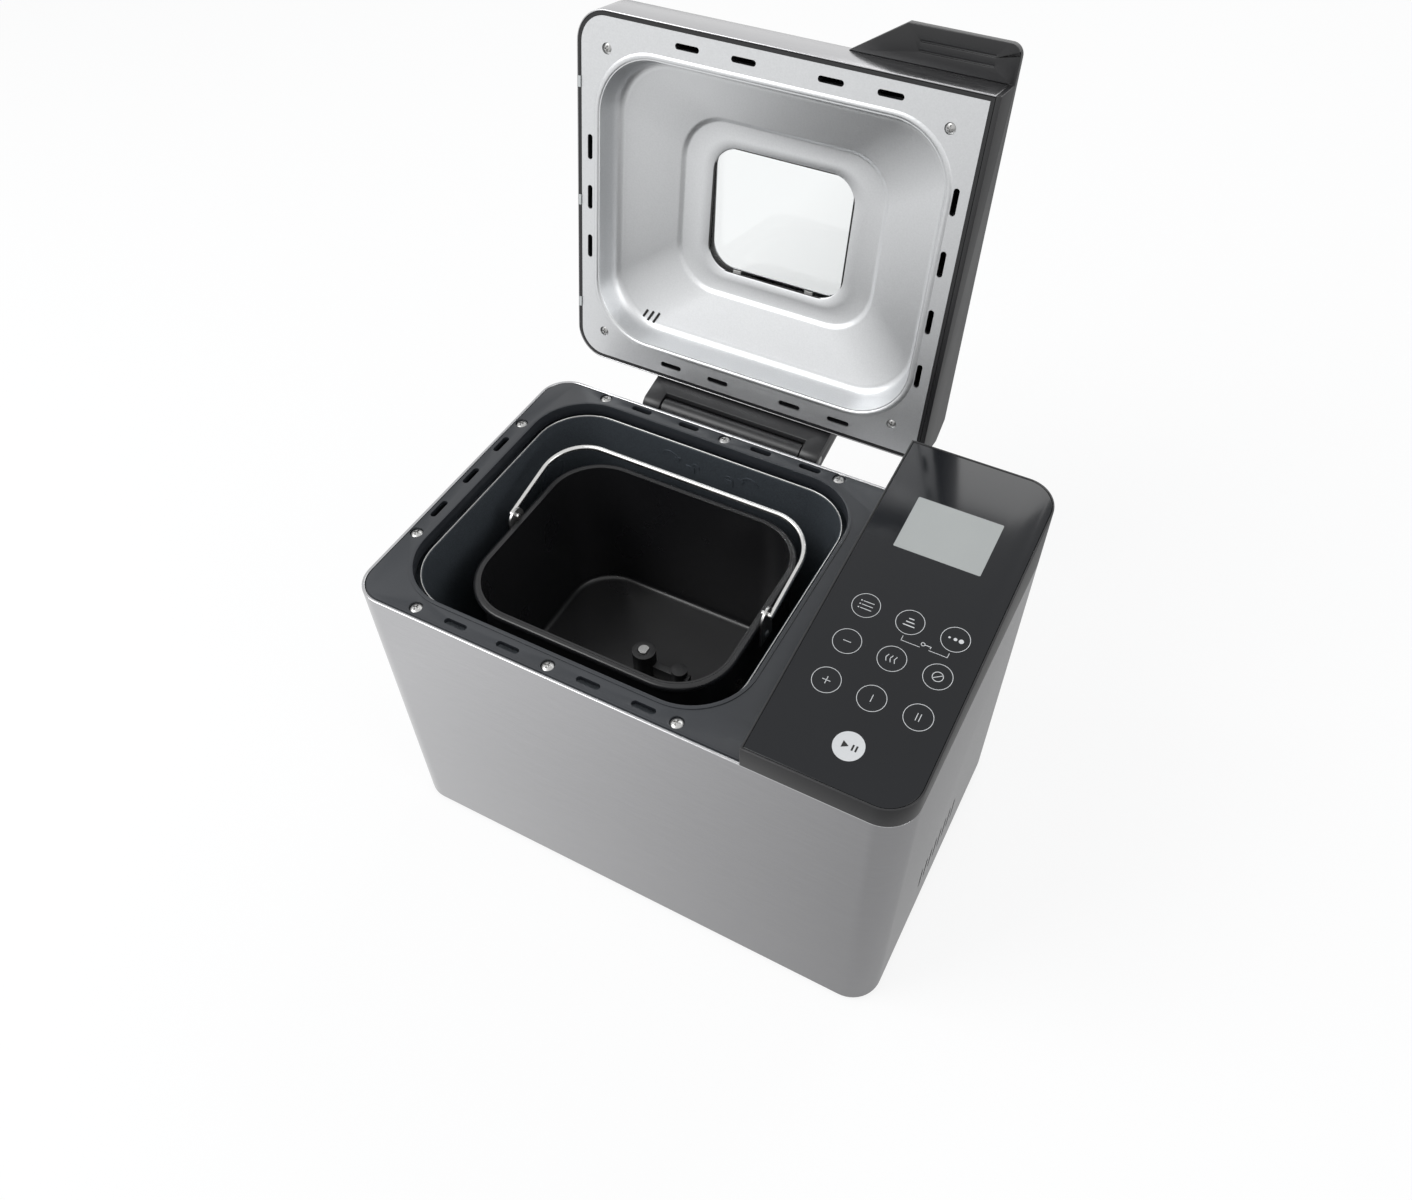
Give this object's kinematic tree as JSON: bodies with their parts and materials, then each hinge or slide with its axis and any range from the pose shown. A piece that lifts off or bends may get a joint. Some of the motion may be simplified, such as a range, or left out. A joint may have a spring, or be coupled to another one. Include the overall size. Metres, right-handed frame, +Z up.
{
  "type": "bread machine",
  "caption": "Steel-bodied bread machine: hinged lid with a window, sloping control panel, oven chamber, and a lift-out pan with a bail and kneading paddle over a belt drive.",
  "frame": {"origin": "centre of the floor area of the machine standing with its lid open, on the worktop", "axes": "+X right along the long front, +Y towards the back, +Z up"},
  "size_m": [0.385, 0.3532, 0.5031],
  "materials": {
    "stainless": "brushed along the length",
    "lid_steel": "brushed",
    "liner": "satin pressed sheet",
    "deck_plastic": "satin",
    "black_plastic": "satin",
    "base_plastic": "matte",
    "panel_gloss": "glossy",
    "display": "smooth",
    "chamber_coat": "satin non-stick coat",
    "pan_coat": "non-stick coat",
    "plated_steel": "bright plated",
    "plain_steel": "rolled",
    "element_sheath": "heat tinted",
    "wire": "polished wire",
    "rubber": "matte",
    "clear_bumper": "translucent",
    "bronze": "plain",
    "pulley_casting": "die cast",
    "ceramic": "unglazed",
    "motor_case": "cast",
    "board": "lacquered",
    "component_case": "moulded",
    "capacitor_case": "moulded",
    "window_glass": "clear"
  },
  "bodies": {
    "body": {"steel_wrap": "stainless", "base_tray": "base_plastic", "feet": "rubber", "base_screws": "plated_steel", "deck_frame": "deck_plastic", "deck_screws": "plated_steel", "oven_chamber": "chamber_coat", "heating_element": "element_sheath", "element_clips": "plain_steel", "element_bushes": "ceramic", "temperature_probe": "plain_steel", "pan_socket": "plain_steel", "drive_plate": "plain_steel", "plate_posts": "plain_steel", "bearing_housing": "motor_case", "shaft_bushes": "bronze", "drive_belt": "rubber", "motor_body": "motor_case", "motor_screws": "plated_steel", "run_capacitor": "capacitor_case", "power_board": "board", "board_transformer": "component_case", "board_relays": "component_case", "board_cans": "component_case", "panel_housing": "black_plastic", "panel_glass": "panel_gloss", "control_board": "board", "display_module": "display", "board_screws": "plated_steel", "cord_gland": "rubber", "hinge_base": "black_plastic", "hinge_screws": "plated_steel", "hinge_pins": "plated_steel"},
    "lid": {"hinge_arms": "black_plastic", "lid_cover": "lid_steel", "lid_side_handle": "black_plastic", "lid_frame": "black_plastic", "lid_liner": "liner", "lid_screws": "plated_steel", "lid_bumpers": "clear_bumper", "window_gasket": "rubber", "window_inner_glass": "window_glass", "window_outer_glass": "window_glass", "window_clips": "plain_steel"},
    "pan": {"pan_shell": "pan_coat", "pan_ears": "plated_steel", "pan_rivets": "plated_steel", "pan_base_ring": "plain_steel", "pan_bush": "plain_steel"},
    "bail": {"bail_wire": "wire"},
    "pan drive": {"pan_shaft": "plated_steel", "pan_coupler": "plain_steel"},
    "paddle": {"kneading_paddle": "pan_coat"},
    "output drive": {"output_shaft": "plated_steel", "shaft_clip": "plain_steel", "driven_pulley": "pulley_casting", "drive_coupler": "plain_steel"},
    "motor rotor": {"motor_shaft": "plated_steel", "motor_pulley": "plain_steel"}
  },
  "joints": [
    {"name": "lid_hinge", "type": "hinge", "parent": "body", "child": "lid", "pos_m": [0, 0.08624, 0.2287], "axis": [-1, 0, 0], "range_deg": [-99.8, 0]},
    {"name": "pan_lift", "type": "slide", "parent": "body", "child": "pan", "axis": [0, 0, 1], "range_m": [0, 0.19]},
    {"name": "bail_swing", "type": "hinge", "parent": "pan", "child": "bail", "pos_m": [-0.0525, -0.05131, 0.2155], "axis": [1, 0, 0], "range_deg": [0, 158]},
    {"name": "pan_shaft_spin", "type": "hinge", "parent": "pan", "child": "pan drive", "pos_m": [-0.0525, -0.05131, 0.09], "axis": [0, 0, 1], "continuous": true},
    {"name": "paddle_lift", "type": "slide", "parent": "pan drive", "child": "paddle", "axis": [0, 0, 1], "range_m": [0, 0.05]},
    {"name": "drive_spin", "type": "hinge", "parent": "body", "child": "output drive", "pos_m": [-0.0525, -0.05131, 0.03], "axis": [0, 0, 1], "continuous": true},
    {"name": "motor_spin", "type": "hinge", "parent": "body", "child": "motor rotor", "pos_m": [0.14175, -0.05131, 0.03], "axis": [0, 0, 1], "continuous": true}
  ],
  "couplings": [
    {"joint": "motor_spin", "follows": "drive_spin", "ratio": 6},
    {"joint": "pan_shaft_spin", "follows": "drive_spin", "ratio": 1}
  ]
}
